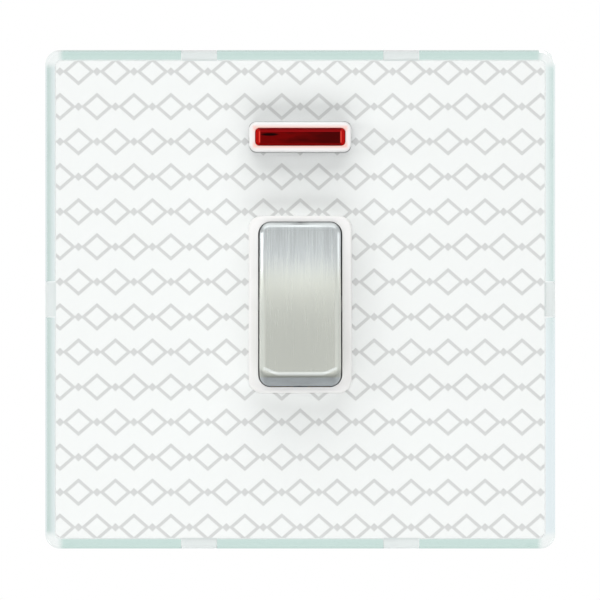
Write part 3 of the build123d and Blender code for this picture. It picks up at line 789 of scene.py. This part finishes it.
@dataclass(frozen=True)
class RedLens(Finish):
    """Deep red lens whose colour carries painted light: lighter to the left, a lighter band and a bright
    line along the top, a dark painted reflection, a painted glow at its ends and bright painted highlight
    lines near them.
    """

    centre: Vector = middle("neon_lens")
    deep: Colour = (0.065, 0.0005, 0.0005)
    body: Colour = (0.16, 0.001, 0.001)
    band: Colour = (0.21, 0.002, 0.003)
    fine: Colour = (0.34, 0.006, 0.008)
    edge: Colour = (0.20, 0.001, 0.001)
    painted_end_glow: Colour = (0.44, 0.005, 0.004)
    line: Colour = (0.72, 0.05, 0.036)
    streak: Colour = (0.008, 0.0, 0.0)
    cloud: Vector = Vector((3.2, 10.0, 0.9)) * MM
    cloud_share: float = 0.6
    cloud_span: Span = (0.3, 0.7)
    streak_place: Tuple[float, float] = (-5.25 * MM, 0.40 * MM)
    streak_half: Tuple[float, float] = (1.9 * MM, 0.32 * MM)
    streak_span: Span = (1.0, 0.2)
    band_span: Span = (0.80 * MM, 0.92 * MM)
    fine_low: Span = (0.84 * MM, 0.92 * MM)
    fine_high: Span = (1.06 * MM, 0.98 * MM)
    fine_inset: Span = (0.4 * MM, 1.2 * MM)
    edge_span: Span = (-1.0 * MM, -1.3 * MM)
    glow_span: Span = (0.95 * MM, 0.5 * MM)
    line_outer: Span = (0.56 * MM, 0.66 * MM)
    line_inner: Span = (0.92 * MM, 0.80 * MM)
    line_stop: Span = (NEON_HALF_HEIGHT - 0.3 * MM, NEON_HALF_HEIGHT - 0.7 * MM)
    roughness: float = 0.15
    ior: float = ACRYLIC_IOR
    gloss: float = 0.03

    def clouded(self, board: Board, right: Wire, up: Wire) -> Wire:
        """Builds the red of the middle: random clouds, lighter to the left as painted light, with a dark
        streak of painted reflection.

        Args:
            board: Board to add nodes to.
            right: Place to the right of the lens's middle.
            up: Place above the lens's middle.

        Returns:
            Wire of the colour.
        """
        # Painted light: the red grows lighter towards the left.
        painted_left_light = right.rise(NEON_HALF_WIDTH, -NEON_HALF_WIDTH)
        cloud = board.grain(self.cloud) * self.cloud_share + painted_left_light * (1 - self.cloud_share)
        red = board.blend(cloud.rise(*self.cloud_span), self.deep, self.body)
        # Painted reflection: a dark streak near the upper left.
        across = abs(right - self.streak_place[0]) / self.streak_half[0]
        above = abs(up - self.streak_place[1]) / self.streak_half[1]
        streak = (across * across + above * above).rise(*self.streak_span)
        return board.blend(streak, red, self.streak)

    def shade(self, board: Board) -> Wire:
        """Builds a dark middle with painted light: a lighter band and a bright painted highlight line
        along the top, a lighter lower edge, a painted glow at the ends and painted highlight lines near
        them.

        Args:
            board: Board to add nodes to.

        Returns:
            Wire of the shader.
        """
        place = board.place()
        right = board.along(place, Axis.RIGHT) - self.centre.x
        up = board.along(place, Axis.UP) - self.centre.z
        from_end = NEON_HALF_WIDTH - abs(right)
        # Painted reflection: a lighter band along the top, then a thin painted highlight line.
        banded = board.blend(up.rise(*self.band_span), self.clouded(board, right, up), self.band)
        top_highlight_share = up.rise(*self.fine_low) * up.rise(*self.fine_high)
        lined = board.blend(top_highlight_share * from_end.rise(*self.fine_inset), banded, self.fine)
        edged = board.blend(up.rise(*self.edge_span), lined, self.edge)
        # Painted glow at both ends, then a painted highlight line near each end.
        ended = board.blend(from_end.rise(*self.glow_span), edged, self.painted_end_glow)
        line = from_end.rise(*self.line_outer) * from_end.rise(*self.line_inner)
        inside = abs(up).rise(*self.line_stop)
        return board.principled(
            Base_Color=board.blend(line * inside, ended, self.line),
            Roughness=self.roughness,
            IOR=self.ior,
            Specular_IOR_Level=self.gloss,
        )


@dataclass(frozen=True)
class LampGlass(Finish):
    """Thin clear glass of the lamp."""

    tint: Colour = (0.95, 0.95, 0.93)
    smoky: Colour = (0.86, 0.85, 0.82)
    wave: Vector = Vector((2.0, 1.0, 1.0)) * MM
    wave_detail: float = 1.0
    wave_span: Span = (0.4, 0.7)
    relief: float = 0.02 * MM
    relief_share: float = 0.3
    roughness: float = 0.02
    ior: float = 1.5

    def shade(self, board: Board) -> Wire:
        """Builds clear glass with a faint wave in its wall.

        Args:
            board: Board to add nodes to.

        Returns:
            Wire of the shader.
        """
        wave = board.grain(self.wave, self.wave_detail)
        glass = board.principled(
            Base_Color=board.blend(wave.rise(*self.wave_span), self.tint, self.smoky),
            Roughness=self.roughness,
            IOR=self.ior,
            Transmission_Weight=1.0,
            Normal=board.bump(wave, self.relief, self.relief_share),
        )
        return board.clear_to_light(glass, self.tint)


@dataclass(frozen=True)
class BandedResistor(Finish):
    """Tan lacquer with four rings of colour."""

    lacquer: Colour = (0.56, 0.39, 0.22)
    rings: Tuple[Tuple[float, Colour], ...] = (
        (-2.0 * MM, (0.20, 0.07, 0.02)),
        (-0.9 * MM, (0.02, 0.02, 0.02)),
        (0.2 * MM, (0.75, 0.55, 0.03)),
        (2.0 * MM, (0.55, 0.42, 0.12)),
    )
    ring_span: Span = (0.25 * MM, 0.20 * MM)
    roughness: float = 0.35
    coat: float = 0.3

    def shade(self, board: Board) -> Wire:
        """Builds rings round a tan body.

        Args:
            board: Board to add nodes to.

        Returns:
            Wire of the shader.
        """
        right = board.along(board.place(), Axis.RIGHT)
        colour: Union[Colour, Wire] = self.lacquer
        for place, ring in self.rings:
            colour = board.blend(abs(right - place).rise(*self.ring_span), colour, ring)
        return board.principled(Base_Color=colour, Roughness=self.roughness, Coat_Weight=self.coat)


@dataclass(frozen=True)
class FloorPaint(Finish):
    """Pale floor that fades out towards its edge."""

    radius: float = 0.8
    solid_share: float = 1 / 3
    colour: Colour = (0.84, 0.84, 0.835)
    roughness: float = 0.9

    def shade(self, board: Board) -> Wire:
        """Builds matt paint, solid in the middle and clear at the edge.

        Args:
            board: Board to add nodes to.

        Returns:
            Wire of the shader.
        """
        away = board.node("ShaderNodeVectorMath", {"operation": "LENGTH"}, {0: board.place()})
        return board.principled(
            Base_Color=self.colour,
            Roughness=self.roughness,
            Alpha=board.wire(away, "Value").rise(self.radius, self.radius * self.solid_share),
        )


CLEAR_ACRYLIC = ClearAcrylic("clear_acrylic")
PAPER = PrintedPaper("paper")
WHITE_MOULDING = Moulding("white_moulding")
COLLAR_MOULDING = CollarMoulding("collar_moulding", colour=(0.93, 0.925, 0.915))
BACKING_MOULDING = Moulding("backing_moulding", colour=(0.76, 0.805, 0.80))
GREY_MOULDING = Moulding("grey_moulding", colour=(0.42, 0.43, 0.44), roughness=0.5, relief=0.008 * MM)
PLUNGER_NYLON = Moulding("plunger_nylon", colour=(0.75, 0.73, 0.66), roughness=0.45)
SATIN_STEEL = BrushedSteel("satin_steel")
ZINC_STEEL = PlainMetal("zinc_steel", tint=(0.655, 0.665, 0.68), cell=3.5 * MM)
SCREW_STEEL = PlainMetal("screw_steel", colour=(0.66, 0.64, 0.56), tint=(0.58, 0.57, 0.53), roughness=0.28)
SPRING_STEEL = PlainMetal("spring_steel", colour=(0.48, 0.48, 0.50), tint=(0.38, 0.38, 0.40))
BRASS = PlainMetal("brass", colour=(0.80, 0.58, 0.27), tint=(0.68, 0.47, 0.20), roughness=0.26)
SILVER = PlainMetal("silver", colour=(0.90, 0.89, 0.87), tint=(0.80, 0.79, 0.78), roughness=0.3)
LEAD_WIRE = PlainMetal("lead_wire", colour=(0.76, 0.74, 0.71), tint=(0.64, 0.62, 0.60), roughness=0.25)
RED_LENS = RedLens("red_lens")
LAMP_GLASS = LampGlass("lamp_glass")
RESISTOR_BODY = BandedResistor("resistor_body")
STUDIO_FLOOR = FloorPaint("studio_floor")


@dataclass
class Assembly:
    """A group of solids that are dressed together."""

    def build(self) -> None:
        """Builds what the group adds and dresses its solids."""
        raise NotImplementedError

    @staticmethod
    def dress(finish: Finish, *nodes: str) -> None:
        """Gives solids a finish.

        Args:
            finish: Finish to give.
            *nodes: Names of the solids.
        """
        for node in nodes:
            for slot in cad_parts[node].material_slots:
                slot.material = finish.material()
            LOG.info("%s: %s", node, finish.name)


@dataclass
class ClearFront(Assembly):
    """Clear plate, the paper behind it and the white plate that holds it."""

    def build(self) -> None:
        """Dresses the plate, the paper and the backing plate."""
        self.dress(CLEAR_ACRYLIC, "front_plate")
        self.dress(PAPER, "wallpaper_insert")
        self.dress(BACKING_MOULDING, "backing_plate")


@dataclass
class WallFrame(Assembly):
    """Pressed frame that lies on the wall, with its earth terminal."""

    def build(self) -> None:
        """Dresses the frame, its terminal and its screws."""
        self.dress(ZINC_STEEL, "mounting_frame")
        self.dress(BRASS, "earth_terminal")
        self.dress(SCREW_STEEL, "earth_screw", "module_screws")


@dataclass
class SwitchBody(Assembly):
    """Two halves of the switch body and the screws that close it."""

    def build(self) -> None:
        """Dresses both halves and their screws."""
        self.dress(COLLAR_MOULDING, "front_housing")
        self.dress(GREY_MOULDING, "rear_housing")
        self.dress(SCREW_STEEL, "housing_screws", "terminal_screws")


@dataclass
class Rocker(Assembly):
    """Rocker with its cap, plungers and springs."""

    def build(self) -> None:
        """Dresses the rocker and what it carries."""
        self.dress(SATIN_STEEL, "rocker_cap")
        self.dress(WHITE_MOULDING, "rocker_core")
        for pole in Pole:
            self.dress(PLUNGER_NYLON, f"{pole.value}_plunger")
            self.dress(SPRING_STEEL, f"{pole.value}_spring")


@dataclass
class Contacts(Assembly):
    """Rocking contacts and terminals of both poles."""

    def build(self) -> None:
        """Dresses each pole's brass and silver."""
        for pole in Pole:
            start = pole.value
            self.dress(BRASS, f"{start}_moving_contact")
            self.dress(BRASS, f"{start}_supply_terminal", f"{start}_load_terminal")
            self.dress(SILVER, f"{start}_moving_tip", f"{start}_fixed_tip")


@dataclass
class NeonWindow(Assembly):
    """Red window with the lamp, wires and resistor behind it."""

    def build(self) -> None:
        """Dresses the lens and what lies behind it."""
        self.dress(RED_LENS, "neon_lens")
        self.dress(LAMP_GLASS, "neon_lamp")
        self.dress(LEAD_WIRE, "neon_leads")
        self.dress(RESISTOR_BODY, "neon_resistor")


@dataclass(frozen=True)
class SoftBox:
    """A soft lamp aimed at the part, which mirrors and clear pieces may be kept from showing."""

    name: str
    place: Vector
    width: float
    height: float
    level: float
    mirrored: bool = True

    def build(self) -> None:
        """Makes the lamp, with power that gives its level of light at the part."""
        data = bpy.data.lights.new(self.name, "AREA")
        data.shape = "RECTANGLE"
        data.size = self.width
        data.size_y = self.height
        data.energy = self.level * math.pi ** 2 * self.place.length_squared
        lamp = bpy.data.objects.new(self.name, data)
        lamp.location = self.place
        lamp.visible_glossy = self.mirrored
        lamp.visible_transmission = self.mirrored
        lamp.rotation_euler = (-self.place).to_track_quat("-Z", "Y").to_euler()
        bpy.context.scene.collection.objects.link(lamp)
        LOG.info("%s: level %.2f", self.name, self.level)


@dataclass
class Studio:
    """Camera, lamps, white surroundings and a pale floor."""

    picture_side: float = 600.0
    pixel: float = 0.1725 * MM
    plate_pixel: Tuple[float, float] = (300.25, 299.4)
    lens: float = 200.0
    sensor: float = 36.0
    camera_tilt: float = math.radians(90.0)
    ambient: float = 0.07
    floor_drop: float = 0.75
    floor_sides: int = 64
    clear_bounces: int = 24
    lamps: Tuple[SoftBox, ...] = (
        SoftBox("top_lamp", Vector((-0.05, -0.44, 0.62)), 1.2, 0.6, 0.95),
        SoftBox("low_lamp", Vector((0.0, -0.42, -0.46)), 1.1, 0.36, 0.88, mirrored=False),
        SoftBox("left_lamp", Vector((-0.80, -0.44, 0.08)), 0.66, 0.22, 0.23),
        SoftBox("right_lamp", Vector((0.78, -0.42, 0.10)), 0.5, 0.16, 0.12),
        SoftBox("band_lamp", Vector((0.0, -0.85, 0.155)), 0.5, 0.035, 0.0175),
        SoftBox("rear_lamp", Vector((0.4, 0.7, 0.5)), 0.6, 0.5, 0.35),
    )

    def build(self) -> None:
        """Builds the whole studio."""
        self.build_camera()
        self.build_world()
        self.build_floor()
        for lamp in self.lamps:
            lamp.build()
        bpy.context.scene.view_settings.view_transform = "Standard"
        self.let_light_through()

    def let_light_through(self) -> None:
        """Allows the many inner reflections that keep clear edges from going black."""
        cycles = bpy.context.scene.cycles
        for limit in ("max_bounces", "glossy_bounces", "transmission_bounces", "transparent_max_bounces"):
            setattr(cycles, limit, self.clear_bounces)

    def build_camera(self) -> None:
        """Places a long lens square to the plate, at the photograph's scale."""
        data = bpy.data.cameras.new("front_camera")
        data.lens = self.lens
        data.sensor_width = self.sensor
        distance = self.picture_side * self.pixel * self.lens / self.sensor
        half = self.picture_side / 2
        camera = bpy.data.objects.new("front_camera", data)
        camera.location = (
            (half - self.plate_pixel[0]) * self.pixel,
            PLATE_FRONT - distance,
            (self.plate_pixel[1] - half) * self.pixel,
        )
        camera.rotation_euler = (self.camera_tilt, 0.0, 0.0)
        bpy.context.scene.collection.objects.link(camera)
        bpy.context.scene.camera = camera

    def build_world(self) -> None:
        """Shows white to the camera, to mirrors and through glass, and lights the rest softly."""
        world = bpy.data.worlds.new("studio_world")
        world.use_nodes = True
        bpy.context.scene.world = world
        board = Board(world.node_tree)
        path = board.node("ShaderNodeLightPath", {}, {})
        seen = (
            board.wire(path, "Is Camera Ray")
            .most(board.wire(path, "Is Glossy Ray"))
            .most(board.wire(path, "Is Transmission Ray"))
        )
        soft = board.node("ShaderNodeBackground", {}, {"Color": WHITE, "Strength": self.ambient})
        white = board.node("ShaderNodeBackground", {}, {"Color": WHITE, "Strength": 1.0})
        shown = board.mix_shaders(seen, board.wire(soft, "Background"), board.wire(white, "Background"))
        board.show(shown, "ShaderNodeOutputWorld")

    def build_floor(self) -> None:
        """Lays a pale floor well below the plate, outside the front view."""
        turns = [math.tau * step / self.floor_sides for step in range(self.floor_sides)]
        radius = STUDIO_FLOOR.radius
        corners = [(radius * math.cos(turn), radius * math.sin(turn), 0.0) for turn in turns]
        mesh = bpy.data.meshes.new("studio_floor")
        mesh.from_pydata(corners, [], [tuple(range(self.floor_sides))])
        mesh.materials.append(STUDIO_FLOOR.material())
        floor = bpy.data.objects.new("studio_floor", mesh)
        floor.location = (0.0, 0.0, -self.floor_drop)
        bpy.context.scene.collection.objects.link(floor)


def main() -> None:
    """Builds the studio, then dresses each sub-assembly."""
    logging.basicConfig(level=logging.INFO)
    Studio().build()
    for assembly in (ClearFront(), WallFrame(), SwitchBody(), Rocker(), Contacts(), NeonWindow()):
        assembly.build()


if __name__ == "__main__":
    main()
